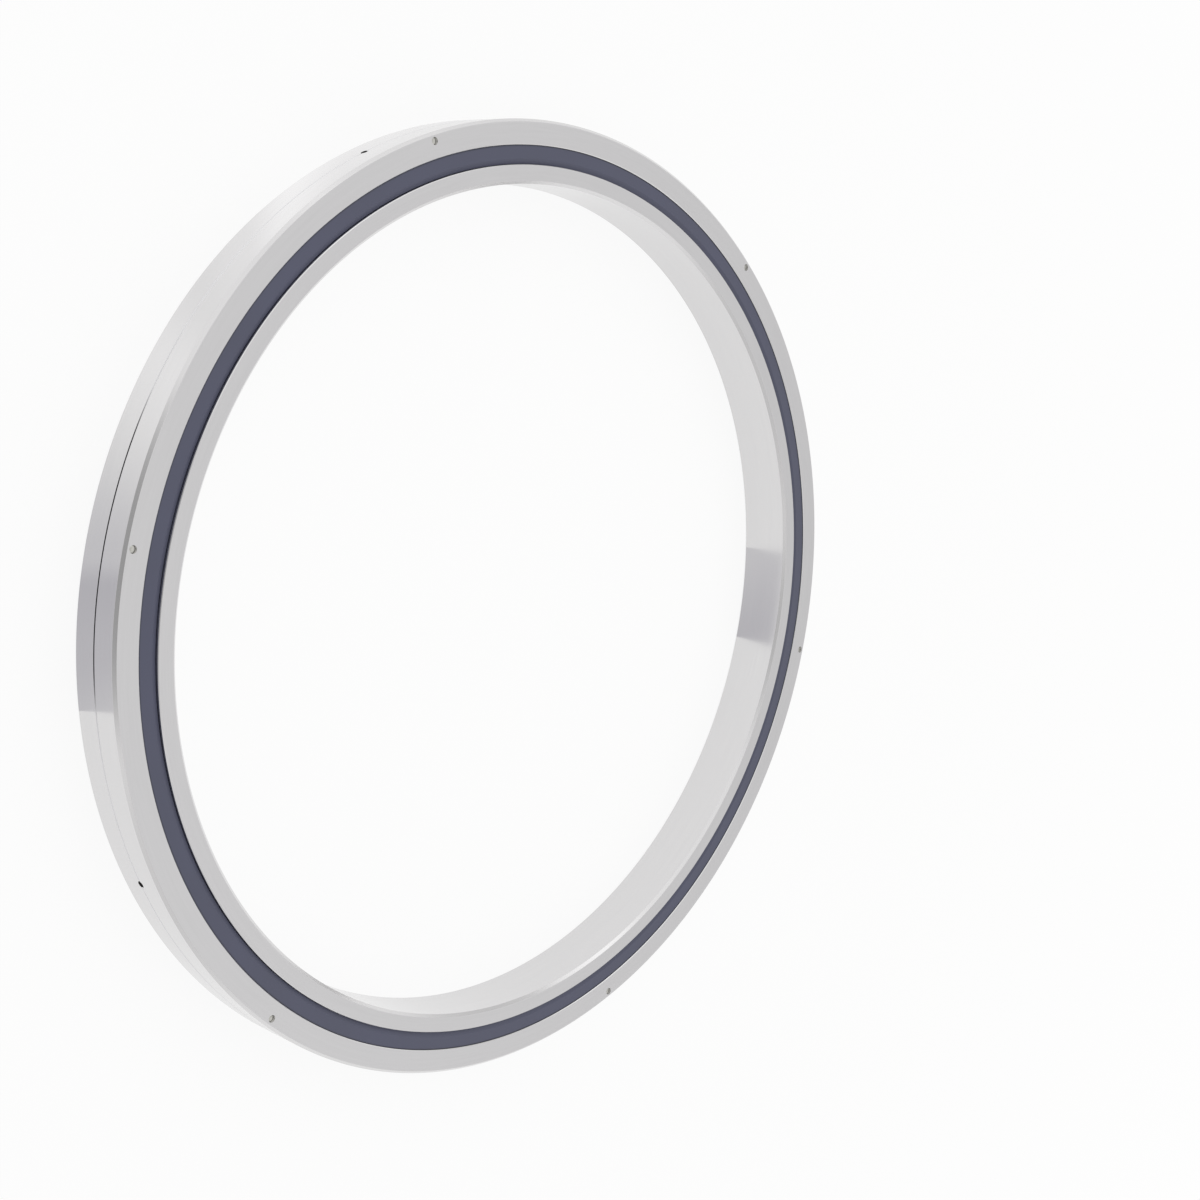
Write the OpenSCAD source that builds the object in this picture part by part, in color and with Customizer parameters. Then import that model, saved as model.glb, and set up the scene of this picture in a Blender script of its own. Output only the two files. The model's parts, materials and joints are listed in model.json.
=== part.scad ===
// Thin-section crossed roller bearing: split outer ring, one-piece inner ring, caged rollers
// that lie across their neighbours in two V raceways, and a rubber seal in each face.
// The axis is Z, the origin is the middle of the bearing and the front face looks along +Z.

/* [Rings] */
// Bore of the inner ring
bore_d = 180; // [140:1:260]
// Radial height of the inner ring, from its bore to the circle through the roller centres
inner_h = 6; // [5.2:0.1:8]
// Radial height of the outer ring, from that circle to its outside
outer_h = 7; // [6.2:0.1:9]
// Width from face to face
width = 13; // [11.5:0.1:18]
// Chamfer on the bore and on the outside edges
edge_chamfer = 0.6; // [0.1:0.05:0.8]
// Chamfer on the face edges beside the seals
land_chamfer = 0.15; // [0.05:0.05:0.3]
// Chamfer on the outside edges where the two halves of the outer ring meet
split_chamfer = 0.2; // [0.05:0.05:0.3]

/* [Rollers] */
// Diameter of a roller
roller_d = 5.5; // [4.8:0.05:6.1]
// How much shorter than its diameter a roller is
roller_shortfall = 0.2; // [0.1:0.05:0.5]
// Chamfer on the ends of a roller
roller_chamfer = 0.3; // [0.1:0.05:0.5]
// Number of rollers, an even number because they lean in turn to either side
roller_count = 52; // [24:2:52]
// Gap between a roller and its raceway
roller_clearance = 0.03; // [0.01:0.01:0.1]

/* [Raceways] */
// Gap between the shoulders of the two rings
shoulder_gap = 1.4; // [1:0.1:1.8]
// Width of the relief at the bottom of each raceway
relief_w = 1; // [0.4:0.1:1.4]
// Depth of that relief below the tip of the V
relief_depth = 0.15; // [0.05:0.05:0.25]

/* [Cage] */
// Radial thickness of the bars between the rollers
cage_bar_t = 3; // [1.6:0.1:3.6]
// Width of the rim beyond the pockets
cage_rim_w = 0.8; // [0.4:0.1:1]
// Gap between the cage and both rings
cage_clearance = 0.2; // [0.1:0.05:0.35]
// Gap between a roller and its pocket
pocket_clearance = 0.12; // [0.05:0.01:0.2]

/* [Seals] */
// Width of the ledge in the outer ring's recess that a seal stands on
outer_ledge_w = 1.1; // [0.9:0.05:1.4]
// Width of the ledge in the inner ring's recess that a seal's lip covers
inner_ledge_w = 1.4; // [1.1:0.05:1.8]
// Depth of both recesses below the face
seal_depth = 1.55; // [1.45:0.05:1.65]
// How far a seal lies below the face
seal_recess = 0.25; // [0.1:0.05:0.35]
// Thickness of a seal's web
seal_t = 0.7; // [0.4:0.05:0.8]
// Radial width of the heel that stands on the recess
heel_w = 0.8; // [0.5:0.05:0.85]
// Radial width of the sloping lip
lip_w = 1.1; // [0.6:0.1:1.6]
// How far the lip falls below the seal's face
lip_drop = 0.5; // [0.2:0.05:0.6]
// Thickness of the lip at its edge
lip_t = 0.4; // [0.2:0.05:0.45]
// Height of the snap groove above the ledge
groove_rise = 0.2; // [0.1:0.05:0.3]
// Depth of the snap groove round a seal
groove_depth = 0.4; // [0.2:0.05:0.6]
// Height of the snap groove
groove_h = 0.5; // [0.3:0.05:0.55]
// Gap between a seal and the outer ring
seat_clearance = 0.03; // [0.01:0.01:0.06]
// Gap between the lip and the inner ring
lip_clearance = 0.06; // [0.02:0.01:0.1]

/* [Rivets] */
// Number of rivets through the two halves of the outer ring
rivet_count = 6; // [3:1:12]
// Diameter of a rivet's shank
rivet_d = 1.1; // [0.8:0.1:1.3]
// Diameter of a rivet's set end
rivet_head_d = 1.5; // [1.4:0.1:2]
// Height of a rivet's set end
rivet_head_h = 0.8; // [0.4:0.1:1.2]
// How far a set end lies below the face
rivet_recess = 0.55; // [0.1:0.05:0.7]
// Diameter of the punch mark in a set end
punch_d = 0.9; // [0.6:0.1:1.2]
// Depth of that punch mark
punch_depth = 0.25; // [0.1:0.05:0.4]
// Gap between a rivet and its hole
rivet_clearance = 0.02; // [0.01:0.01:0.04]

/* [Oil holes] */
// Number of oil holes on the line where the halves meet
oil_hole_count = 4; // [2:1:8]
// Diameter of an oil hole
oil_hole_d = 1.5; // [0.8:0.1:2]
// Angle of the first oil hole from the first rivet
oil_hole_angle = 37; // [33:0.5:57]

/* [Hidden] */
$fn = 128;
overlap = 1;

bore_r = bore_d / 2;
pitch_r = bore_r + inner_h;
outer_r = pitch_r + outer_h;
face_z = width / 2;
recess_z = face_z - seal_depth;

// The raceways are the sides of a square stood on its corner; this is half its diagonal
vee_half = (roller_d / 2 + roller_clearance) * sqrt(2);
outer_tip_r = pitch_r + vee_half;
inner_tip_r = pitch_r - vee_half;
outer_shoulder_r = pitch_r + shoulder_gap / 2;
inner_shoulder_r = pitch_r - shoulder_gap / 2;
race_edge_z = vee_half - shoulder_gap / 2;

roller_len = roller_d - roller_shortfall;
pocket_tip_z = (roller_len / 2 + roller_d / 2 - roller_chamfer + 2 * pocket_clearance) / sqrt(2);
cage_half_w = pocket_tip_z + cage_rim_w;
cage_rim_half_t = shoulder_gap / 2 - cage_clearance;
cage_vee_half = vee_half - cage_clearance * sqrt(2);

seat_r = outer_shoulder_r + outer_ledge_w;
land_r = inner_shoulder_r - inner_ledge_w;
seal_top_z = face_z - seal_recess;
web_z = seal_top_z - seal_t;
groove_r = seat_r + groove_depth;
groove_low_z = recess_z + groove_rise;
groove_high_z = groove_low_z + groove_h;
heel_r = seat_r - seat_clearance;
bead_r = groove_r - seat_clearance;
lip_r = land_r + lip_clearance;

// The rivets stand halfway between the bottom of the outer raceway and the edge of the outside chamfer
rivet_circle_r = (outer_tip_r + relief_depth + outer_r - edge_chamfer) / 2;
rivet_end_z = face_z - rivet_recess;
rivet_neck_z = rivet_end_z - rivet_head_h;

roller_names = [for (i = [1 : roller_count]) str("roller_", i < 10 ? "0" : "", i)];

// The rest of an outline that is the same above and below the middle plane
function below(points) = [for (i = [len(points) - 1 : -1 : 0]) [points[i].x, -points[i].y]];

function both_sides(points) = concat(points, below(points));

outer_half_section = [
    [outer_r - split_chamfer, 0],
    [outer_r, split_chamfer],
    [outer_r, face_z - edge_chamfer],
    [outer_r - edge_chamfer, face_z],
    [seat_r + land_chamfer, face_z],
    [seat_r, face_z - land_chamfer],
    [seat_r, groove_high_z],
    [groove_r, groove_high_z],
    [groove_r, groove_low_z],
    [seat_r, groove_low_z],
    [seat_r, recess_z],
    [outer_shoulder_r, recess_z],
    [outer_shoulder_r, race_edge_z],
    [outer_tip_r - relief_w / 2, relief_w / 2],
    [outer_tip_r + relief_depth, relief_w / 2],
    [outer_tip_r + relief_depth, 0]
];

inner_section = both_sides([
    [inner_tip_r - relief_depth, relief_w / 2],
    [inner_tip_r + relief_w / 2, relief_w / 2],
    [inner_shoulder_r, race_edge_z],
    [inner_shoulder_r, recess_z],
    [land_r, recess_z],
    [land_r, face_z - land_chamfer],
    [land_r - land_chamfer, face_z],
    [bore_r + edge_chamfer, face_z],
    [bore_r, face_z - edge_chamfer]
]);

seal_section = [
    [heel_r, seal_top_z],
    [heel_r, groove_high_z - seat_clearance],
    [bead_r, groove_high_z - seat_clearance],
    [bead_r, groove_low_z + seat_clearance],
    [heel_r, groove_low_z + seat_clearance],
    [heel_r, recess_z + seat_clearance],
    [heel_r - heel_w, recess_z + seat_clearance],
    [heel_r - heel_w, web_z],
    [lip_r + lip_w, web_z],
    [lip_r, seal_top_z - lip_drop - lip_t],
    [lip_r, seal_top_z - lip_drop],
    [lip_r + lip_w, seal_top_z]
];

cage_section = both_sides([
    [pitch_r + cage_bar_t / 2, cage_vee_half - cage_bar_t / 2],
    [pitch_r + cage_rim_half_t, cage_vee_half - cage_rim_half_t],
    [pitch_r + cage_rim_half_t, cage_half_w],
    [pitch_r - cage_rim_half_t, cage_half_w],
    [pitch_r - cage_rim_half_t, cage_vee_half - cage_rim_half_t],
    [pitch_r - cage_bar_t / 2, cage_vee_half - cage_bar_t / 2]
]);

rivet_section = both_sides([
    [0, rivet_end_z - punch_depth],
    [punch_d / 2, rivet_end_z],
    [rivet_head_d / 2, rivet_end_z],
    [rivet_head_d / 2, rivet_neck_z],
    [rivet_d / 2, rivet_neck_z]
]);

rivet_hole_section = both_sides([
    [0, face_z + overlap],
    [rivet_head_d / 2 + rivet_clearance, face_z + overlap],
    [rivet_head_d / 2 + rivet_clearance, rivet_neck_z - rivet_clearance],
    [rivet_d / 2 + rivet_clearance, rivet_neck_z - rivet_clearance]
]);

module around(count, start = 0) {
    for (i = [0 : count - 1])
        rotate(start + i * 360 / count) children();
}

module turned(section) {
    rotate_extrude() polygon(section);
}

module at_rivets() {
    around(rivet_count) translate([rivet_circle_r, 0, 0]) children();
}

// Every second roller leans the other way, so that its axis crosses its neighbours' at a right angle
module at_roller(i) {
    lean = i % 2 == 0 ? 45 : -45;
    rotate((i - 1) * 360 / roller_count)
        translate([pitch_r, 0, 0])
            rotate([0, lean, 0])
                children();
}

module roller_form(extra = 0) {
    turned(both_sides([
        [0, roller_len / 2 + extra],
        [roller_d / 2 + extra - roller_chamfer, roller_len / 2 + extra],
        [roller_d / 2 + extra, roller_len / 2 + extra - roller_chamfer]
    ]));
}

module outer_half() {
    difference() {
        turned(outer_half_section);
        at_rivets() turned(rivet_hole_section);
        around(oil_hole_count, oil_hole_angle)
            translate([outer_shoulder_r, 0, 0])
                rotate([0, 90, 0])
                    cylinder(d = oil_hole_d, h = outer_r - outer_shoulder_r + overlap);
    }
}

module outer_ring_front() {
    color("#C9CACC") outer_half();
}

module outer_ring_rear() {
    color("#C9CACC") mirror([0, 0, 1]) outer_half();
}

module inner_ring() {
    color("#CFCFD1") turned(inner_section);
}

module front_seal() {
    color("#55566A") turned(seal_section);
}

module rear_seal() {
    color("#55566A") mirror([0, 0, 1]) turned(seal_section);
}

module rivets() {
    color("#A9AAAE") at_rivets() turned(rivet_section);
}

module roller_cage() {
    color("#E4DCC4")
        difference() {
            turned(cage_section);
            for (i = [1 : roller_count])
                at_roller(i) roller_form(pocket_clearance);
        }
}

module roller(i) {
    color("#DADBDD") at_roller(i) roller_form();
}

outer_ring_front();
outer_ring_rear();
inner_ring();
front_seal();
rear_seal();
rivets();
roller_cage();
for (i = [1 : roller_count])
    roller(i);
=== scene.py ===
import json
import math

import bmesh
import bpy
from mathutils import Matrix, Vector


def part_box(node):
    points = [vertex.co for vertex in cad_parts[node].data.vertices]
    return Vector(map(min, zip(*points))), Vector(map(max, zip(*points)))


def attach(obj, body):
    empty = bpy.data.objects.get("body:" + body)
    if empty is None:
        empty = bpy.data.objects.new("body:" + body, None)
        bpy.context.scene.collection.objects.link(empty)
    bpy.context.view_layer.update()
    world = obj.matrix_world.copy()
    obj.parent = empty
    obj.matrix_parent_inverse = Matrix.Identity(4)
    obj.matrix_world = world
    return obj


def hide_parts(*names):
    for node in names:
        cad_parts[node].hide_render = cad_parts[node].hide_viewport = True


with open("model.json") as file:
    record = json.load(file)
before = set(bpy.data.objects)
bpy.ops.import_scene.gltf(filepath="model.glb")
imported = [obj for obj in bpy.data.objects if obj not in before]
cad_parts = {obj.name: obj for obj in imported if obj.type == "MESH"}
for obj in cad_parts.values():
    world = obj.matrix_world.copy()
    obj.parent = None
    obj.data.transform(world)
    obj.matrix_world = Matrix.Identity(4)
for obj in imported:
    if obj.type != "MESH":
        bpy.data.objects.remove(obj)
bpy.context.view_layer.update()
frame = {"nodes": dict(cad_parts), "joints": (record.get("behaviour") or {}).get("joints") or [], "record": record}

mm = 0.001

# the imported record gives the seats, the face and the circle of the rollers
mounts = {mount["name"]: mount for mount in frame["record"]["mounts"]}
joints = {joint["name"]: joint for joint in frame["joints"]}
boreR = mounts["bore"]["dims"]["r_mm"] * mm
outerR = mounts["outer_seat"]["dims"]["r_mm"] * mm
pitchR = Vector(joints["roller_01_spin"]["pos_m"]).length
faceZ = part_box("inner_ring")[1].z
print(f"frame: bore {boreR / mm:.1f}, outside {outerR / mm:.1f}, rollers {pitchR / mm:.1f} mm")


def linear(hexColour):
    channels = [int(hexColour[i : i + 2], 16) / 255 for i in (1, 3, 5)]
    return [c / 12.92 if c <= 0.04045 else ((c + 0.055) / 1.055) ** 2.4 for c in channels] + [1]


# adds one node, sets it up, and links or fills its inputs; a tuple of sockets all go to one input
def addNode(tree, kind, inputs=None, **settings):
    node = tree.nodes.new(kind)
    for name, value in settings.items():
        setattr(node, name, value)
    for name, value in (inputs or {}).items():
        sockets = value if isinstance(value, tuple) else (value,)
        if isinstance(sockets[0], bpy.types.NodeSocket):
            for socket in sockets:
                tree.links.new(socket, node.inputs[name])
        else:
            node.inputs[name].default_value = value
    return node


def newMaterial(name):
    material = bpy.data.materials.new(name)
    material.use_nodes = True
    material.node_tree.nodes.clear()
    return material


def finishMaterial(material, shader):
    addNode(material.node_tree, "ShaderNodeOutputMaterial", {"Surface": shader.outputs["BSDF"]})
    return material


noiseLow, noiseHigh = 0.3, 0.7  # most of a noise falls between these
octaves = {"lay": 3, "oilRun": 2, "smudge": 4, "flow": 5, "bloom": 4}  # how finely each noise breaks up


# a point's place square to the axis, and how far out it lies
def outFromAxis(tree, place):
    flat = addNode(
        tree, "ShaderNodeVectorMath", {0: place, 1: (1, 1, 0)}, operation="MULTIPLY"
    ).outputs[0]
    radius = addNode(tree, "ShaderNodeVectorMath", {0: flat}, operation="LENGTH").outputs["Value"]
    return flat, radius


# marks that run round the bearing's axis without a seam: 4D noise on radius, height, cosine and sine
def layMarks(tree, place, layMm, streakMm):
    flat, radius = outFromAxis(tree, place)
    turn = addNode(tree, "ShaderNodeVectorMath", {0: flat}, operation="NORMALIZE").outputs[0]
    turnXy = addNode(tree, "ShaderNodeSeparateXYZ", {0: turn}).outputs
    height = addNode(tree, "ShaderNodeSeparateXYZ", {0: place}).outputs["Z"]
    cylinder = addNode(
        tree, "ShaderNodeCombineXYZ", {"X": radius, "Y": height, "Z": turnXy["X"]}
    ).outputs[0]
    perLay = 1 / (layMm * mm)
    perStreak = pitchR / (streakMm * mm)
    fineShare = 0.6  # how much each finer octave adds
    scale = (perLay, perLay, perStreak)
    vector = addNode(
        tree, "ShaderNodeVectorMath", {0: cylinder, 1: scale}, operation="MULTIPLY"
    ).outputs[0]
    sine = addNode(
        tree, "ShaderNodeMath", {0: turnXy["Y"], 1: perStreak}, operation="MULTIPLY"
    ).outputs[0]
    return addNode(
        tree,
        "ShaderNodeTexNoise",
        {"Vector": vector, "W": sine, "Scale": 1, "Detail": octaves["lay"], "Roughness": fineShare},
        noise_dimensions="4D",
    ).outputs[0]


# bearing steel, faces ground on a rotary table: an even light grey satin with a faint ringed lay
groundFace = {
    "darker": "#CCCBCC", "lighter": "#D4D3D4",
    "roughLow": 0.30, "roughHigh": 0.38,
    "layMm": 0.5,  # real grinding lines lie about 0.02 mm apart; drawn coarser so that they show
    "streakMm": 14, "layDepthMm": 0.0012, "smudgeMm": 26,
}

# bearing steel, outside and bore fine-ground: brighter and more mirror-like than the faces
groundRim = {
    "darker": "#D8D7D8", "lighter": "#DFDEDE",
    "roughLow": 0.15, "roughHigh": 0.23,
    "layMm": 0.45,  # coarser than real, as on the faces
    "streakMm": 22, "layDepthMm": 0.0005, "smudgeMm": 34,
}

# soft steel rivet ends, set by a punch: a little warmer than the rings, rough where the punch bit
setRivet = {
    "darker": "#BAB9B3", "lighter": "#DCDBD5",
    "roughLow": 0.30, "roughHigh": 0.46,
    "layMm": 0.4, "streakMm": 1.2, "layDepthMm": 0.004, "smudgeMm": 0.9,
}

# the joint between the outer halves: the same steel, with painted shade that darkens it on the -X side;
# elsewhere it is painted lighter than the rings' steel, to lift the shade that falls in the groove
jointPaintedShade = {
    "darker": "#2B2A2D", "lighter": "#413F43", "unshaded": "#E3E2E4",
    "runMm": 60, "wanderMm": 6, "runEndMm": -98, "runFullMm": -101,
    "roughLow": 0.40, "roughHigh": 0.55,
    "layMm": 0.3, "streakMm": 9, "layDepthMm": 0.001, "smudgeMm": 8,
}

# through-hardened rollers, lapped: nearly mirror bright
lappedRoller = {
    "darker": "#D2D2D5", "lighter": "#DEDEE0",
    "roughLow": 0.08, "roughHigh": 0.15,
    "layMm": 0.5, "streakMm": 5, "layDepthMm": 0.0004, "smudgeMm": 6,
}


# painted shade: the joint is darkened on the -X side and fades out unevenly away from it
def jointShadeRuns(tree, place, tone, finish):
    across = addNode(tree, "ShaderNodeSeparateXYZ", {0: place}).outputs["X"]
    wander = addNode(
        tree,
        "ShaderNodeTexNoise",
        {"Vector": place, "Scale": 1 / (finish["runMm"] * mm), "Detail": octaves["oilRun"]},
    ).outputs[0]
    reach = addNode(
        tree,
        "ShaderNodeMath",
        {0: wander, 1: finish["wanderMm"] * mm, 2: across},
        operation="MULTIPLY_ADD",
    ).outputs[0]
    middle = finish["wanderMm"] / 2
    shaded = addNode(
        tree,
        "ShaderNodeMapRange",
        {
            "Value": reach,
            "From Min": (finish["runEndMm"] + middle) * mm,
            "From Max": (finish["runFullMm"] + middle) * mm,
        },
        interpolation_type="SMOOTHSTEP",
    ).outputs[0]
    return addNode(
        tree, "ShaderNodeMix", {"Factor": shaded, 6: linear(finish["unshaded"]), 7: tone}, data_type="RGBA"
    ).outputs[2]


def steel(name, finish):
    material = newMaterial(name)
    tree = material.node_tree
    place = addNode(tree, "ShaderNodeTexCoord").outputs["Object"]
    lay = layMarks(tree, place, finish["layMm"], finish["streakMm"])
    smudge = addNode(
        tree,
        "ShaderNodeTexNoise",
        {"Vector": place, "Scale": 1 / (finish["smudgeMm"] * mm), "Detail": octaves["smudge"]},
    ).outputs[0]
    tone = addNode(
        tree,
        "ShaderNodeMix",
        {"Factor": lay, 6: linear(finish["darker"]), 7: linear(finish["lighter"])},
        data_type="RGBA",
    ).outputs[2]
    # the joint's painted shade and painted lightening
    if "unshaded" in finish:
        tone = jointShadeRuns(tree, place, tone, finish)
    rough = addNode(
        tree,
        "ShaderNodeMapRange",
        {
            "Value": smudge,
            "From Min": noiseLow, "From Max": noiseHigh,
            "To Min": finish["roughLow"], "To Max": finish["roughHigh"],
        },
    ).outputs[0]
    height = addNode(
        tree, "ShaderNodeBump", {"Height": lay, "Distance": finish["layDepthMm"] * mm}
    ).outputs[0]
    shader = addNode(
        tree,
        "ShaderNodeBsdfPrincipled",
        {"Base Color": tone, "Metallic": 1.0, "Roughness": rough, "Normal": height},
    )
    return finishMaterial(material, shader)


# polyamide 66, injection moulded: ivory, half matt, faintly mottled by flow in the mould
cagePlastic = {
    "darker": "#CDBF97", "lighter": "#DDD1AE",
    "roughLow": 0.38, "roughHigh": 0.52, "ior": 1.53,
    "flowMm": 7, "grainMm": 0.4, "grainDepthMm": 0.003,
}


def polyamide(name, finish):
    material = newMaterial(name)
    tree = material.node_tree
    place = addNode(tree, "ShaderNodeTexCoord").outputs["Object"]
    flow = addNode(
        tree,
        "ShaderNodeTexNoise",
        {"Vector": place, "Scale": 1 / (finish["flowMm"] * mm), "Detail": octaves["flow"]},
    ).outputs[0]
    grain = addNode(
        tree, "ShaderNodeTexNoise", {"Vector": place, "Scale": 1 / (finish["grainMm"] * mm)}
    ).outputs[0]
    tone = addNode(
        tree,
        "ShaderNodeMix",
        {"Factor": flow, 6: linear(finish["darker"]), 7: linear(finish["lighter"])},
        data_type="RGBA",
    ).outputs[2]
    rough = addNode(
        tree,
        "ShaderNodeMapRange",
        {
            "Value": flow,
            "From Min": noiseLow, "From Max": noiseHigh,
            "To Min": finish["roughLow"], "To Max": finish["roughHigh"],
        },
    ).outputs[0]
    height = addNode(
        tree, "ShaderNodeBump", {"Height": grain, "Distance": finish["grainDepthMm"] * mm}
    ).outputs[0]
    shader = addNode(
        tree,
        "ShaderNodeBsdfPrincipled",
        {"Base Color": tone, "Roughness": rough, "IOR": finish["ior"], "Normal": height},
    )
    return finishMaterial(material, shader)


faceSteel = steel("bearingSteelGroundFace", groundFace)
rimSteel = steel("bearingSteelFineGroundRim", groundRim)
# the joint's steel, with painted shade on the -X side and painted lightening elsewhere
jointSteel = steel("bearingSteelJointPaintedShade", jointPaintedShade)
rivetSteel = steel("softSteelSetRivet", setRivet)
rollerSteel = steel("hardenedSteelLappedRoller", lappedRoller)
cagePolyamide = polyamide("polyamideMouldedCage", cagePlastic)
print("materials: five steels and polyamide")


def newTree(name, sockets):
    tree = bpy.data.node_groups.new(name, "GeometryNodeTree")
    for label, kind in sockets:
        tree.interface.new_socket(label, in_out="INPUT", socket_type=kind)
    tree.interface.new_socket("Geometry", in_out="OUTPUT", socket_type="NodeSocketGeometry")
    return tree, addNode(tree, "NodeGroupInput").outputs


# a tree's inputs go in by their identifiers, before the piece is first evaluated
def setInputs(modifier, values):
    for item in modifier.node_group.interface.items_tree:
        if item.item_type == "SOCKET" and item.in_out == "INPUT" and item.name in values:
            modifier[item.identifier] = values[item.name]


flatRise = 0.9  # a face counts as flat where its normal rises by more than this
jointSlope = {"rise": -math.sqrt(0.5), "margin": 0.1}  # the joint's chamfer looks down at 45 degrees


# turns a closed section round the axis; corners are broken, flats and rims get their own finish
def makeTurnedTree():
    tree, given = newTree(
        "turnedRing",
        [
            ("Geometry", "NodeSocketGeometry"),
            ("Sweep radius", "NodeSocketFloat"),
            ("Segments", "NodeSocketInt"),
            ("Edge break", "NodeSocketFloat"),
            ("Break steps", "NodeSocketInt"),
            ("Face material", "NodeSocketMaterial"),
            ("Rim material", "NodeSocketMaterial"),
        ],
    )
    outline = addNode(tree, "GeometryNodeMeshToCurve", {"Mesh": given["Geometry"]}).outputs["Curve"]
    rounded = addNode(
        tree,
        "GeometryNodeFilletCurve",
        {
            "Curve": outline, "Radius": given["Edge break"],
            "Limit Radius": True, "Count": given["Break steps"],
        },
        mode="POLY",
    ).outputs["Curve"]
    circle = addNode(
        tree,
        "GeometryNodeCurvePrimitiveCircle",
        {"Resolution": given["Segments"], "Radius": given["Sweep radius"]},
    ).outputs["Curve"]
    upright = addNode(
        tree, "GeometryNodeSetCurveNormal", {"Curve": circle}, mode="Z_UP"
    ).outputs["Curve"]
    ring = addNode(
        tree, "GeometryNodeCurveToMesh", {"Curve": upright, "Profile Curve": rounded}
    ).outputs["Mesh"]
    plain = addNode(tree, "GeometryNodeRealizeInstances", {"Geometry": ring}).outputs["Geometry"]
    rims = addNode(
        tree, "GeometryNodeSetMaterial", {"Geometry": plain, "Material": given["Rim material"]}
    )
    normal = addNode(tree, "GeometryNodeInputNormal").outputs["Normal"]
    upward = addNode(tree, "ShaderNodeSeparateXYZ", {0: normal}).outputs["Z"]
    steep = addNode(tree, "ShaderNodeMath", {0: upward}, operation="ABSOLUTE").outputs[0]
    isFlat = addNode(
        tree, "FunctionNodeCompare", {"A": steep, "B": flatRise}, operation="GREATER_THAN"
    ).outputs["Result"]
    faces = addNode(
        tree,
        "GeometryNodeSetMaterial",
        {"Geometry": rims.outputs["Geometry"], "Selection": isFlat, "Material": given["Face material"]},
    )
    addNode(tree, "NodeGroupOutput", {"Geometry": faces.outputs["Geometry"]})
    return tree
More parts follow.
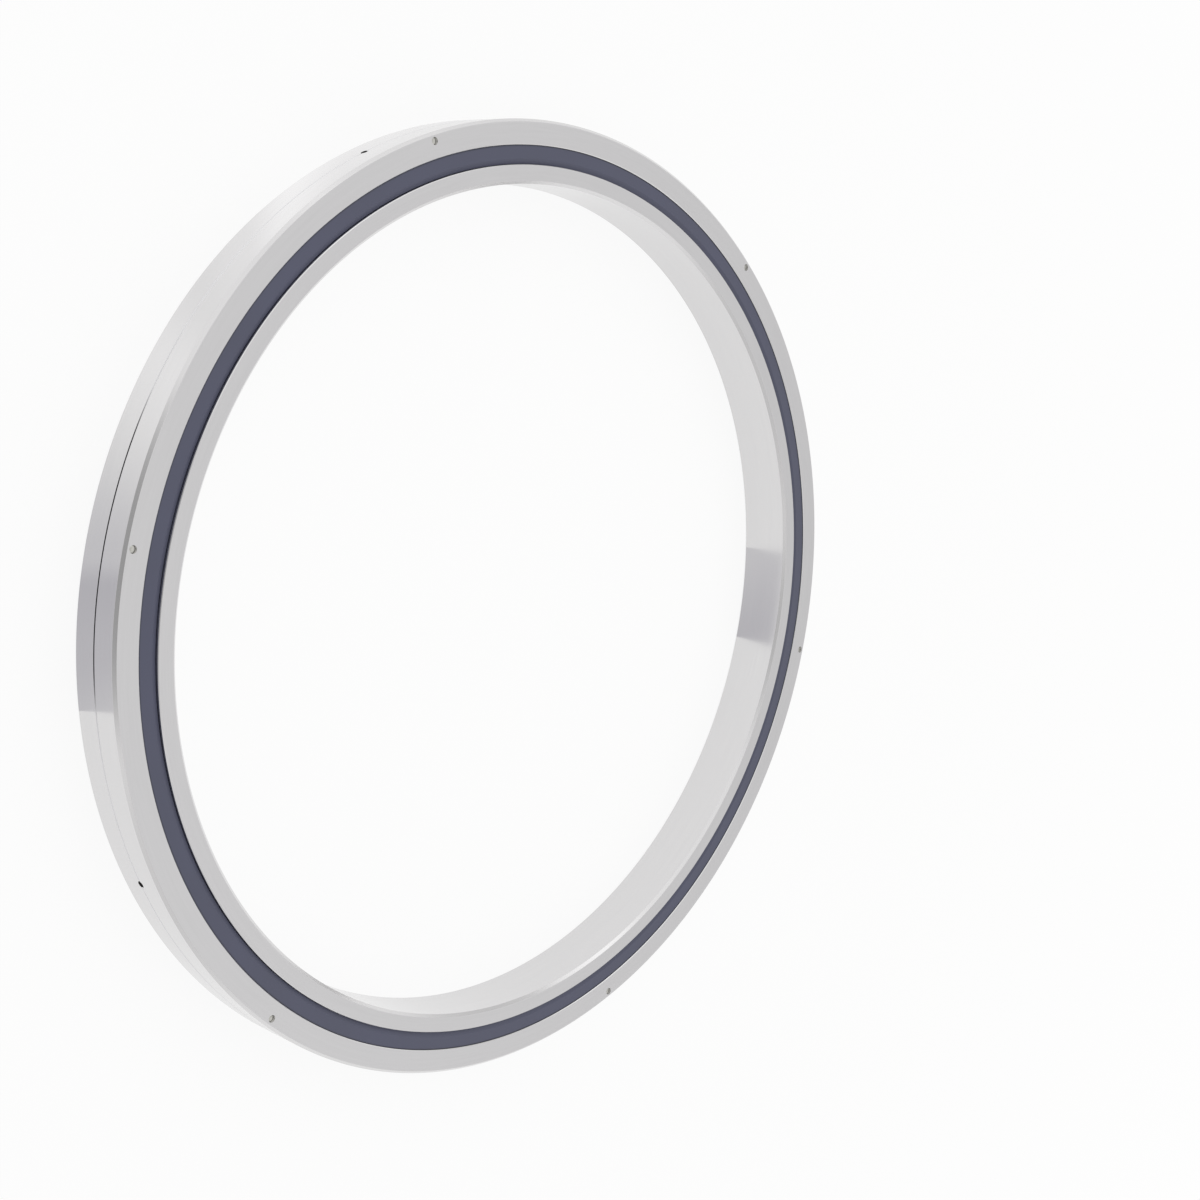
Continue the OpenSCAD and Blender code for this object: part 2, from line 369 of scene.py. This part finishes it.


# bores rivet holes along the axis and drills oil holes in from the outside, both in even rings;
# the chamfer at the joint, the only outward slope that looks down, gets its own material with painted shade
def makeDrilledTree():
    tree, given = newTree(
        "drilledRing",
        [
            ("Geometry", "NodeSocketGeometry"),
            ("Rivet count", "NodeSocketInt"),
            ("Rivet circle", "NodeSocketFloat"),
            ("Shank radius", "NodeSocketFloat"),
            ("Pocket radius", "NodeSocketFloat"),
            ("Pocket offset", "NodeSocketVector"),
            ("Hole length", "NodeSocketFloat"),
            ("Hole sides", "NodeSocketInt"),
            ("Oil count", "NodeSocketInt"),
            ("Oil radius", "NodeSocketFloat"),
            ("Oil offset", "NodeSocketVector"),
            ("Oil first", "NodeSocketFloat"),
            ("Oil step", "NodeSocketFloat"),
            ("Wall material", "NodeSocketMaterial"),
            ("Joint material", "NodeSocketMaterial"),
        ],
    )
    shank, pocket, oilway = [
        addNode(
            tree,
            "GeometryNodeMeshCylinder",
            {"Vertices": given["Hole sides"], "Radius": given[radius], "Depth": given["Hole length"]},
        ).outputs["Mesh"]
        for radius in ("Shank radius", "Pocket radius", "Oil radius")
    ]
    raised = addNode(
        tree, "GeometryNodeTransform", {"Geometry": pocket, "Translation": given["Pocket offset"]}
    )
    lying = addNode(
        tree, "GeometryNodeTransform", {"Geometry": oilway, "Rotation": (0, math.pi / 2, 0)}
    )
    radial = addNode(
        tree,
        "GeometryNodeTransform",
        {"Geometry": lying.outputs["Geometry"], "Translation": given["Oil offset"]},
    )
    rivetSpots = addNode(
        tree,
        "GeometryNodeMeshCircle",
        {"Vertices": given["Rivet count"], "Radius": given["Rivet circle"]},
    ).outputs["Mesh"]
    oilSpots = addNode(
        tree, "GeometryNodeMeshLine", {"Count": given["Oil count"], "Offset": (0, 0, 0)}
    ).outputs["Mesh"]
    index = addNode(tree, "GeometryNodeInputIndex").outputs["Index"]
    angle = addNode(
        tree,
        "ShaderNodeMath",
        {0: index, 1: given["Oil step"], 2: given["Oil first"]},
        operation="MULTIPLY_ADD",
    ).outputs[0]
    turned = addNode(tree, "ShaderNodeCombineXYZ", {"Z": angle}).outputs[0]
    placed = [
        addNode(tree, "GeometryNodeInstanceOnPoints", {"Points": rivetSpots, "Instance": shank}),
        addNode(
            tree,
            "GeometryNodeInstanceOnPoints",
            {"Points": rivetSpots, "Instance": raised.outputs["Geometry"]},
        ),
        addNode(
            tree,
            "GeometryNodeInstanceOnPoints",
            {"Points": oilSpots, "Instance": radial.outputs["Geometry"], "Rotation": turned},
        ),
    ]
    cutters = []
    for holes in placed:
        solid = addNode(tree, "GeometryNodeRealizeInstances", {"Geometry": holes.outputs["Instances"]})
        walls = addNode(
            tree,
            "GeometryNodeSetMaterial",
            {"Geometry": solid.outputs["Geometry"], "Material": given["Wall material"]},
        )
        cutters.append(walls.outputs["Geometry"])
    drilled = addNode(
        tree,
        "GeometryNodeMeshBoolean",
        {"Mesh 1": given["Geometry"], "Mesh 2": tuple(cutters)},
        operation="DIFFERENCE",
        solver="MANIFOLD",
    )
    plain = addNode(tree, "GeometryNodeRealizeInstances", {"Geometry": drilled.outputs["Mesh"]})
    place = addNode(tree, "GeometryNodeInputPosition").outputs["Position"]
    normal = addNode(tree, "GeometryNodeInputNormal").outputs["Normal"]
    outward = addNode(
        tree, "ShaderNodeVectorMath", {0: place, 1: normal}, operation="DOT_PRODUCT"
    ).outputs["Value"]
    upward = addNode(tree, "ShaderNodeSeparateXYZ", {0: normal}).outputs["Z"]
    looksOut = addNode(
        tree, "FunctionNodeCompare", {"A": outward, "B": 0}, operation="GREATER_THAN"
    ).outputs["Result"]
    looksDown = addNode(
        tree,
        "FunctionNodeCompare",
        {"A": upward, "B": jointSlope["rise"], "Epsilon": jointSlope["margin"]},
        operation="EQUAL",
    ).outputs["Result"]
    isJoint = addNode(
        tree, "FunctionNodeBooleanMath", {0: looksOut, 1: looksDown}, operation="AND"
    ).outputs["Boolean"]
    joint = addNode(
        tree,
        "GeometryNodeSetMaterial",
        {
            "Geometry": plain.outputs["Geometry"],
            "Selection": isJoint, "Material": given["Joint material"],
        },
    )
    addNode(tree, "NodeGroupOutput", {"Geometry": joint.outputs["Geometry"]})
    return tree


# sets one finished shape at even steps round the axis
def makeAroundTree():
    tree, given = newTree(
        "aroundRing",
        [
            ("Geometry", "NodeSocketGeometry"),
            ("Count", "NodeSocketInt"),
            ("Circle", "NodeSocketFloat"),
            ("Material", "NodeSocketMaterial"),
        ],
    )
    spots = addNode(
        tree, "GeometryNodeMeshCircle", {"Vertices": given["Count"], "Radius": given["Circle"]}
    )
    placed = addNode(
        tree,
        "GeometryNodeInstanceOnPoints",
        {"Points": spots.outputs["Mesh"], "Instance": given["Geometry"]},
    )
    plain = addNode(tree, "GeometryNodeRealizeInstances", {"Geometry": placed.outputs["Instances"]})
    coated = addNode(
        tree,
        "GeometryNodeSetMaterial",
        {"Geometry": plain.outputs["Geometry"], "Material": given["Material"]},
    )
    addNode(tree, "NodeGroupOutput", {"Geometry": coated.outputs["Geometry"]})
    return tree


turnedTree = makeTurnedTree()
drilledTree = makeDrilledTree()
aroundTree = makeAroundTree()
print("trees: turnedRing, drilledRing, aroundRing")


def newObject(name, mesh):
    piece = bpy.data.objects.new(name, mesh)
    bpy.context.scene.collection.objects.link(piece)
    return piece


# evaluates a piece's modifiers into a plain mesh and takes them off
def settle(piece):
    bpy.context.view_layer.update()
    evaluated = piece.evaluated_get(bpy.context.evaluated_depsgraph_get())
    mesh = bpy.data.meshes.new_from_object(evaluated)
    piece.modifiers.clear()
    piece.data = mesh


def addTree(piece, tree, values):
    modifier = piece.modifiers.new(tree.name, "NODES")
    modifier.node_group = tree
    setInputs(modifier, values)
    piece.update_tag()


# normals lean to the larger faces, so flats look flat and broken edges catch the light
def smoothFlats(piece, sharpDeg):
    tidy = bmesh.new()
    tidy.from_mesh(piece.data)
    bmesh.ops.recalc_face_normals(tidy, faces=tidy.faces)
    tidy.to_mesh(piece.data)
    tidy.free()
    piece.data.polygons.foreach_set("use_smooth", [True] * len(piece.data.polygons))
    piece.data.set_sharp_from_angle(angle=math.radians(sharpDeg))
    weighted = piece.modifiers.new("weighted", "WEIGHTED_NORMAL")
    weighted.keep_sharp = True
    settle(piece)


# sizes in the dictionaries of the pieces are in millimetres
turning = {"segments": 384, "edgeBreak": 0.05, "breakSteps": 4, "sharpDeg": 35}


def turnedPiece(name, section, faceMaterial, rimMaterial, edgeBreak=turning["edgeBreak"]):
    outline = bpy.data.meshes.new(name)
    count = len(section)
    outline.from_pydata(
        [(r - boreR, -z, 0) for r, z in section], [(i, (i + 1) % count) for i in range(count)], []
    )
    piece = newObject(name, outline)
    addTree(
        piece,
        turnedTree,
        {
            "Sweep radius": boreR,
            "Segments": turning["segments"],
            "Edge break": edgeBreak * mm,
            "Break steps": turning["breakSteps"],
            "Face material": faceMaterial,
            "Rim material": rimMaterial,
        },
    )
    return piece


def finishPiece(piece, body, node):
    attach(piece, body)
    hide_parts(node)
    print(f"{piece.name}: {len(piece.data.polygons)} faces for {node}")


# both raceways are a square on its corner round the roller, eased by a small gap
raceway = {"rollerD": 5.5, "clearance": 0.03, "shoulderGap": 1.4, "reliefW": 1, "reliefDepth": 0.15}
veeHalf = (raceway["rollerD"] / 2 + raceway["clearance"]) * math.sqrt(2) * mm
shoulder = raceway["shoulderGap"] / 2 * mm
raceEdgeZ = veeHalf - shoulder
reliefZ = raceway["reliefW"] / 2 * mm
reliefDepth = raceway["reliefDepth"] * mm

# the recess that takes a seal, with the snap groove that holds its bead
recess = {
    "depth": 1.55, "outerLedge": 1.1, "innerLedge": 1.4,
    "grooveRise": 0.2, "grooveH": 0.5, "grooveDepth": 0.4,
}
recessZ = faceZ - recess["depth"] * mm
seatR = pitchR + shoulder + recess["outerLedge"] * mm
landR = pitchR - shoulder - recess["innerLedge"] * mm
grooveR = seatR + recess["grooveDepth"] * mm
grooveLowZ = recessZ + recess["grooveRise"] * mm
grooveHighZ = grooveLowZ + recess["grooveH"] * mm

ring = {"edgeChamfer": 0.6, "landChamfer": 0.15, "splitChamfer": 0.2}
edge = ring["edgeChamfer"] * mm
land = ring["landChamfer"] * mm
split = ring["splitChamfer"] * mm

# sections run clockwise, down the outer side first, so that the turned faces look outwards
outerHalfSection = [
    (outerR - edge, faceZ),
    (outerR, faceZ - edge),
    (outerR, split),
    (outerR - split, 0),
    (pitchR + veeHalf + reliefDepth, 0),
    (pitchR + veeHalf + reliefDepth, reliefZ),
    (pitchR + veeHalf - reliefZ, reliefZ),
    (pitchR + shoulder, raceEdgeZ),
    (pitchR + shoulder, recessZ),
    (seatR, recessZ),
    (seatR, grooveLowZ),
    (grooveR, grooveLowZ),
    (grooveR, grooveHighZ),
    (seatR, grooveHighZ),
    (seatR, faceZ - land),
    (seatR + land, faceZ),
]

# rivets stand halfway between the raceway's floor and the outside chamfer
rivet = {
    "count": 6, "shankD": 1.1, "headD": 1.5, "headH": 0.8, "sunk": 0.55,
    "punchD": 0.9, "punchDepth": 0.25, "clearance": 0.02, "steps": 40, "weld": 0.001,
    "edgeBreak": 0.06, "breakMiddle": 0.3,  # the rounded edge's middle, as a share of the break
}
rivetCircle = (pitchR + veeHalf + reliefDepth + outerR - edge) / 2
rivetEndZ = faceZ - rivet["sunk"] * mm
rivetNeckZ = rivetEndZ - rivet["headH"] * mm

oilHole = {"count": 4, "diameter": 1.5, "angleDeg": 37, "sides": 40}
holeLength = 3 * faceZ  # longer than any wall that a drill goes through


def outerHalf(name, node, side):
    piece = turnedPiece(name, outerHalfSection, faceSteel, rimSteel)
    addTree(
        piece,
        drilledTree,
        {
            "Rivet count": rivet["count"],
            "Rivet circle": rivetCircle,
            "Shank radius": (rivet["shankD"] / 2 + rivet["clearance"]) * mm,
            "Pocket radius": (rivet["headD"] / 2 + rivet["clearance"]) * mm,
            "Pocket offset": (0, 0, rivetNeckZ + holeLength / 2),
            "Hole length": holeLength,
            "Hole sides": oilHole["sides"],
            "Oil count": oilHole["count"],
            "Oil radius": oilHole["diameter"] / 2 * mm,
            "Oil offset": (pitchR + shoulder + holeLength / 2, 0, 0),
            "Oil first": math.radians(oilHole["angleDeg"]),
            "Oil step": math.tau / oilHole["count"],
            "Wall material": rimSteel,
            "Joint material": jointSteel,
        },
    )
    settle(piece)
    piece.data.transform(Matrix.Scale(side, 4, (0, 0, 1)))
    smoothFlats(piece, turning["sharpDeg"])
    finishPiece(piece, "outer_ring", node)


outerHalf("outerRingFront", "outer_ring_front", 1)
outerHalf("outerRingRear", "outer_ring_rear", -1)

upperInner = [
    (boreR, faceZ - edge),
    (boreR + edge, faceZ),
    (landR - land, faceZ),
    (landR, faceZ - land),
    (landR, recessZ),
    (pitchR - shoulder, recessZ),
    (pitchR - shoulder, raceEdgeZ),
    (pitchR - veeHalf + reliefZ, reliefZ),
    (pitchR - veeHalf - reliefDepth, reliefZ),
]
innerRing = turnedPiece(
    "innerRing", upperInner + [(r, -z) for r, z in reversed(upperInner)], faceSteel, rimSteel
)
settle(innerRing)
smoothFlats(innerRing, turning["sharpDeg"])
finishPiece(innerRing, "inner_ring", "inner_ring")

# a seal stands on its heel in the recess, its lip slopes down to the inner ring
seal = {
    "below": 0.25, "web": 0.7, "heelW": 0.8, "lipW": 1.1, "lipDrop": 0.5, "lipT": 0.4,
    "seatGap": 0.03, "lipGap": 0.06, "edgeBreak": 0.09,
}
seatGap = seal["seatGap"] * mm
sealTopZ = faceZ - seal["below"] * mm
webZ = sealTopZ - seal["web"] * mm
heelR = seatR - seatGap
heelInR = heelR - seal["heelW"] * mm
beadR = grooveR - seatGap
lipR = landR + seal["lipGap"] * mm
lipRootR = lipR + seal["lipW"] * mm
lipTopZ = sealTopZ - seal["lipDrop"] * mm

# nitrile rubber, compression moulded: slate grey and dull, with the turned rings of its mould;
# painted shade darkens the edge at the seat, where the seal sits down in its recess
sealRubber = {
    "darker": "#484A5C", "lighter": "#55576C", "edgeShadeColour": "#1D1D23",
    "edgeShare": 0.55, "edgeFadeMm": 0.4,
    "roughLow": 0.46, "roughHigh": 0.60, "ior": 1.5,
    "ringMm": 0.55,  # the mould's turning marks, drawn about four times too coarse so that they show
    "ringRunMm": 30, "ringDepthMm": 0.006, "bloomMm": 18,
    "grainMm": 0.35, "grainDepthMm": 0.004,
}


def rubber(name, finish):
    material = newMaterial(name)
    tree = material.node_tree
    place = addNode(tree, "ShaderNodeTexCoord").outputs["Object"]
    rings = layMarks(tree, place, finish["ringMm"], finish["ringRunMm"])
    grain = addNode(
        tree, "ShaderNodeTexNoise", {"Vector": place, "Scale": 1 / (finish["grainMm"] * mm)}
    ).outputs[0]
    bloom = addNode(
        tree,
        "ShaderNodeTexNoise",
        {"Vector": place, "Scale": 1 / (finish["bloomMm"] * mm), "Detail": octaves["bloom"]},
    ).outputs[0]
    # painted shade: darker towards the seal's outer edge by the seat
    edgeShade = addNode(
        tree,
        "ShaderNodeMapRange",
        {
            "Value": outFromAxis(tree, place)[1],
            "From Min": heelR - finish["edgeFadeMm"] * mm, "From Max": heelR,
            "To Max": finish["edgeShare"],
        },
        interpolation_type="SMOOTHSTEP",
    ).outputs[0]
    unshaded = addNode(
        tree,
        "ShaderNodeMix",
        {"Factor": bloom, 6: linear(finish["darker"]), 7: linear(finish["lighter"])},
        data_type="RGBA",
    ).outputs[2]
    tone = addNode(
        tree, "ShaderNodeMix", {"Factor": edgeShade, 6: unshaded, 7: linear(finish["edgeShadeColour"])}, data_type="RGBA"
    ).outputs[2]
    rough = addNode(
        tree,
        "ShaderNodeMapRange",
        {
            "Value": bloom,
            "From Min": noiseLow, "From Max": noiseHigh,
            "To Min": finish["roughLow"], "To Max": finish["roughHigh"],
        },
    ).outputs[0]
    ringed = addNode(
        tree, "ShaderNodeBump", {"Height": rings, "Distance": finish["ringDepthMm"] * mm}
    ).outputs[0]
    grained = addNode(
        tree,
        "ShaderNodeBump",
        {"Height": grain, "Distance": finish["grainDepthMm"] * mm, "Normal": ringed},
    ).outputs[0]
    shader = addNode(
        tree,
        "ShaderNodeBsdfPrincipled",
        {"Base Color": tone, "Roughness": rough, "IOR": finish["ior"], "Normal": grained},
    )
    return finishMaterial(material, shader)


nitrile = rubber("nitrileRubberMoulded", sealRubber)

sealSection = [
    (heelR, sealTopZ),
    (heelR, grooveHighZ - seatGap),
    (beadR, grooveHighZ - seatGap),
    (beadR, grooveLowZ + seatGap),
    (heelR, grooveLowZ + seatGap),
    (heelR, recessZ + seatGap),
    (heelInR, recessZ + seatGap),
    (heelInR, webZ),
    (lipRootR, webZ),
    (lipR, lipTopZ - seal["lipT"] * mm),
    (lipR, lipTopZ),
    (lipRootR, sealTopZ),
]


def faceSeal(name, node, side):
    piece = turnedPiece(name, sealSection, nitrile, nitrile, seal["edgeBreak"])
    settle(piece)
    piece.data.transform(Matrix.Scale(side, 4, (0, 0, 1)))
    smoothFlats(piece, turning["sharpDeg"])
    finishPiece(piece, "outer_ring", node)


faceSeal("frontSeal", "front_seal", 1)
faceSeal("rearSeal", "rear_seal", -1)


# half a rivet's outline from the punch mark to the shank, then mirrored and spun
def rivetMesh():
    shankR = rivet["shankD"] / 2 * mm
    headR = rivet["headD"] / 2 * mm
    ease = rivet["edgeBreak"] * mm
    upper = [
        (0, rivetEndZ - rivet["punchDepth"] * mm),
        (rivet["punchD"] / 2 * mm, rivetEndZ),
        (headR - ease, rivetEndZ),
        (headR - ease * rivet["breakMiddle"], rivetEndZ - ease * rivet["breakMiddle"]),
        (headR, rivetEndZ - ease),
        (headR, rivetNeckZ),
        (shankR, rivetNeckZ),
    ]
    outline = upper + [(r, -z) for r, z in reversed(upper)]
    shape = bmesh.new()
    points = [shape.verts.new((r, 0, z)) for r, z in outline]
    lines = [shape.edges.new(pair) for pair in zip(points, points[1:])]
    bmesh.ops.spin(
        shape, geom=points + lines, cent=(0, 0, 0), axis=(0, 0, 1), angle=math.tau, steps=rivet["steps"]
    )
    bmesh.ops.remove_doubles(shape, verts=shape.verts, dist=rivet["weld"] * mm)
    bmesh.ops.recalc_face_normals(shape, faces=shape.faces)
    mesh = bpy.data.meshes.new("rivet")
    shape.to_mesh(mesh)
    shape.free()
    return mesh


rivets = newObject("ringRivets", rivetMesh())
addTree(rivets, aroundTree, {"Count": rivet["count"], "Circle": rivetCircle, "Material": rivetSteel})
settle(rivets)
smoothFlats(rivets, turning["sharpDeg"])
finishPiece(rivets, "outer_ring", "rivets")

# cage and rollers keep their solids and only get their finish
for name, node in frame["nodes"].items():
    if name == "roller_cage" or name.startswith("roller_"):
        node.data.materials.clear()
        node.data.materials.append(cagePolyamide if name == "roller_cage" else rollerSteel)
print("cage and rollers dressed")

# matt white paper: white to what looks at it, but it still takes the bearing's shadow; radii in metres
floorPaper = {
    "radius": 3.0, "sides": 64, "dropMm": 0.01,
    "paper": "#F7F7F6", "grainMm": 0.6, "grainDepthMm": 0.01,
    "nearRadius": 0.2, "nearLift": 0.87, "farRadius": 0.8, "farLift": 1.0,
}


def makeFloor():
    sheet = bmesh.new()
    bmesh.ops.create_circle(
        sheet, cap_ends=True, segments=floorPaper["sides"], radius=floorPaper["radius"]
    )
    bmesh.ops.translate(sheet, verts=sheet.verts, vec=(0, 0, -faceZ - floorPaper["dropMm"] * mm))
    mesh = bpy.data.meshes.new("floor")
    sheet.to_mesh(mesh)
    sheet.free()
    material = newMaterial("paperMattWhite")
    tree = material.node_tree
    place = addNode(tree, "ShaderNodeTexCoord").outputs["Object"]
    grain = addNode(
        tree, "ShaderNodeTexNoise", {"Vector": place, "Scale": 1 / (floorPaper["grainMm"] * mm)}
    ).outputs[0]
    height = addNode(
        tree, "ShaderNodeBump", {"Height": grain, "Distance": floorPaper["grainDepthMm"] * mm}
    )
    paper = addNode(
        tree,
        "ShaderNodeBsdfDiffuse",
        {"Color": linear(floorPaper["paper"]), "Normal": height.outputs["Normal"]},
    )
    white = addNode(tree, "ShaderNodeEmission", {"Color": (1, 1, 1, 1), "Strength": 1})
    path = addNode(tree, "ShaderNodeLightPath").outputs
    seen = path["Is Camera Ray"]
    for ray in ("Is Glossy Ray", "Is Transmission Ray"):
        seen = addNode(tree, "ShaderNodeMath", {0: seen, 1: path[ray]}, operation="MAXIMUM").outputs[0]
    lift = addNode(
        tree,
        "ShaderNodeMapRange",
        {
            "Value": outFromAxis(tree, place)[1],
            "From Min": floorPaper["nearRadius"], "From Max": floorPaper["farRadius"],
            "To Min": floorPaper["nearLift"], "To Max": floorPaper["farLift"],
        },
    ).outputs[0]
    share = addNode(tree, "ShaderNodeMath", {0: seen, 1: lift}, operation="MULTIPLY")
    mixed = addNode(
        tree,
        "ShaderNodeMixShader",
        {0: share.outputs[0], 1: paper.outputs["BSDF"], 2: white.outputs["Emission"]},
    )
    addNode(tree, "ShaderNodeOutputMaterial", {"Surface": mixed.outputs["Shader"]})
    mesh.materials.append(material)
    floor = newObject("floor", mesh)


makeFloor()

# cards that lie by the ring and show only in its polish: grey ones give a soft dark patch on the
# outside and in the bore, a white one brightens the outside; in millimetres and degrees, and cover
# lists places along Y with the share that the card covers there
cards = {
    "greyCardOutside": {
        "colour": "#CBCACF", "strength": 1.0, "lift": 0.04,
        "radii": (100, 121), "nearAngles": (161, 197.2), "farAngles": (162, 199.9),
        "cover": [(-38, 0.65), (-22, 0.9), (-9, 1.0), (-3, 0.66), (26, 0.0)],
    },
    "greyCardInside": {
        "colour": "#CBCACF", "strength": 1.0, "lift": 0.04,
        "radii": (90.3, 73), "nearAngles": (0.2, 15.1), "farAngles": (-0.6, 11.9),
        "cover": [(0, 0.92), (24, 0.6)],
    },
    "whiteCardOutside": {
        "colour": "#FFFFFF", "strength": 1.18, "lift": 0.06,
        "radii": (100, 120), "nearAngles": (100, 181), "farAngles": (102, 181),
        "cover": [(18, 0.0), (37, 0.4), (51, 0.05), (62, 0.25), (73, 0.95), (86, 0.35), (98, 0.15)],
    },
}
cardSteps = 16


def makeCard(name, card):
    sides = [
        [
            (math.radians(first + (last - first) * i / cardSteps), radius * mm)
            for i in range(cardSteps + 1)
        ]
        for radius, (first, last) in zip(card["radii"], (card["nearAngles"], card["farAngles"]))
    ]
    level = card["lift"] * mm - faceZ
    points = [(r * math.cos(a), r * math.sin(a), level) for side in sides for a, r in side]
    across = cardSteps + 1
    mesh = bpy.data.meshes.new(name)
    mesh.from_pydata(points, [], [(i, i + 1, i + 1 + across, i + across) for i in range(cardSteps)])
    material = newMaterial(name)
    tree = material.node_tree
    place = addNode(tree, "ShaderNodeTexCoord").outputs["Object"]
    alongY = addNode(tree, "ShaderNodeSeparateXYZ", {0: place}).outputs["Y"]
    firstY, lastY = card["cover"][0][0], card["cover"][-1][0]
    along = addNode(
        tree, "ShaderNodeMapRange", {"Value": alongY, "From Min": firstY * mm, "From Max": lastY * mm}
    ).outputs[0]
    ramp = addNode(tree, "ShaderNodeValToRGB", {"Fac": along})
    ramp.color_ramp.interpolation = "EASE"
    stops = ramp.color_ramp.elements
    while len(stops) < len(card["cover"]):
        stops.new(0.5)  # its place is set below
    for i, (y, share) in enumerate(card["cover"]):
        stops[i].position = (y - firstY) / (lastY - firstY)
        stops[i].color = (share, share, share, 1)
    cover = ramp.outputs["Color"]
    clear = addNode(tree, "ShaderNodeBsdfTransparent").outputs["BSDF"]
    glow = addNode(
        tree, "ShaderNodeEmission", {"Color": linear(card["colour"]), "Strength": card["strength"]}
    ).outputs["Emission"]
    mixed = addNode(tree, "ShaderNodeMixShader", {0: cover, 1: clear, 2: glow})
    addNode(tree, "ShaderNodeOutputMaterial", {"Surface": mixed.outputs["Shader"]})
    mesh.materials.append(material)
    sheet = newObject(name, mesh)
    sheet.visible_camera = sheet.visible_diffuse = False
    sheet.visible_shadow = sheet.visible_transmission = False


for name, card in cards.items():
    makeCard(name, card)

# white studio walls, greyer in places, and a softbox low on the +Y side, in metres
studio = {
    "wall": 1.0,
    "greyer": {
        "behindCamera": {"direction": (-0.84, -0.10, 0.53), "level": 0.40, "innerDeg": 4, "outerDeg": 35},
        "farSide": {"direction": (0.77, 0.0, 0.64), "level": 0.80, "innerDeg": 3, "outerDeg": 24},
        "nearSide": {"direction": (-0.1, -0.77, 0.63), "level": 0.72, "innerDeg": 8, "outerDeg": 40},
        "farCorner": {"direction": (0.54, 0.76, 0.37), "level": 0.72, "innerDeg": 4, "outerDeg": 26},
    },
    "boxPlace": (0.05, 0.72, 0.42), "boxSize": (0.7, 0.3), "boxRadiance": 0.4,
}


def makeStudio():
    world = bpy.data.worlds.new("studio")
    world.use_nodes = True
    tree = world.node_tree
    tree.nodes.clear()
    direction = addNode(tree, "ShaderNodeTexCoord").outputs["Generated"]
    level = studio["wall"]
    for zone in studio["greyer"].values():
        towards = Vector(zone["direction"]).normalized()
        facing = addNode(
            tree, "ShaderNodeVectorMath", {0: direction, 1: towards}, operation="DOT_PRODUCT"
        )
        share = addNode(
            tree,
            "ShaderNodeMapRange",
            {
                "Value": facing.outputs["Value"],
                "From Min": math.cos(math.radians(zone["outerDeg"])),
                "From Max": math.cos(math.radians(zone["innerDeg"])),
                "To Min": 1,
                "To Max": zone["level"],
            },
            interpolation_type="SMOOTHSTEP",
        ).outputs[0]
        level = addNode(tree, "ShaderNodeMath", {0: level, 1: share}, operation="MULTIPLY").outputs[0]
    sky = addNode(tree, "ShaderNodeBackground", {"Color": (1, 1, 1, 1), "Strength": level})
    addNode(tree, "ShaderNodeOutputWorld", {"Surface": sky.outputs["Background"]})
    bpy.context.scene.world = world

    width, height = studio["boxSize"]
    softbox = bpy.data.lights.new("softbox", "AREA")
    softbox.shape = "RECTANGLE"
    softbox.size, softbox.size_y = width, height
    softbox.energy = studio["boxRadiance"] * math.pi * width * height
    lamp = newObject("softbox", softbox)
    lamp.location = studio["boxPlace"]
    lamp.rotation_euler = (-Vector(studio["boxPlace"])).to_track_quat("-Z", "Y").to_euler()


makeStudio()
print("studio: floor, cards, walls and softbox")

# found by fitting the ring's edges in the photograph, in millimetres from the bearing's middle
cameraFit = {
    "place": (-281.9, 13.9, 279.2), "aim": (29.02, 4.14, -0.14),
    "up": (-0.1067, 0.9823, -0.1538), "lens": 54.19, "sensor": 36,
    "clip": (0.01, 20),  # metres
}


def makeCamera():
    lens = bpy.data.cameras.new("camera")
    lens.lens, lens.sensor_width = cameraFit["lens"], cameraFit["sensor"]
    lens.sensor_fit = "HORIZONTAL"
    lens.clip_start, lens.clip_end = cameraFit["clip"]
    camera = newObject("camera", lens)
    place = Vector(cameraFit["place"]) * mm
    forward = (Vector(cameraFit["aim"]) * mm - place).normalized()
    right = forward.cross(Vector(cameraFit["up"])).normalized()
    turn = Matrix((right, right.cross(forward), -forward)).transposed()
    camera.matrix_world = Matrix.Translation(place) @ turn.to_4x4()
    bpy.context.scene.camera = camera


makeCamera()
bpy.context.scene.view_settings.view_transform = "Standard"
print("camera set")
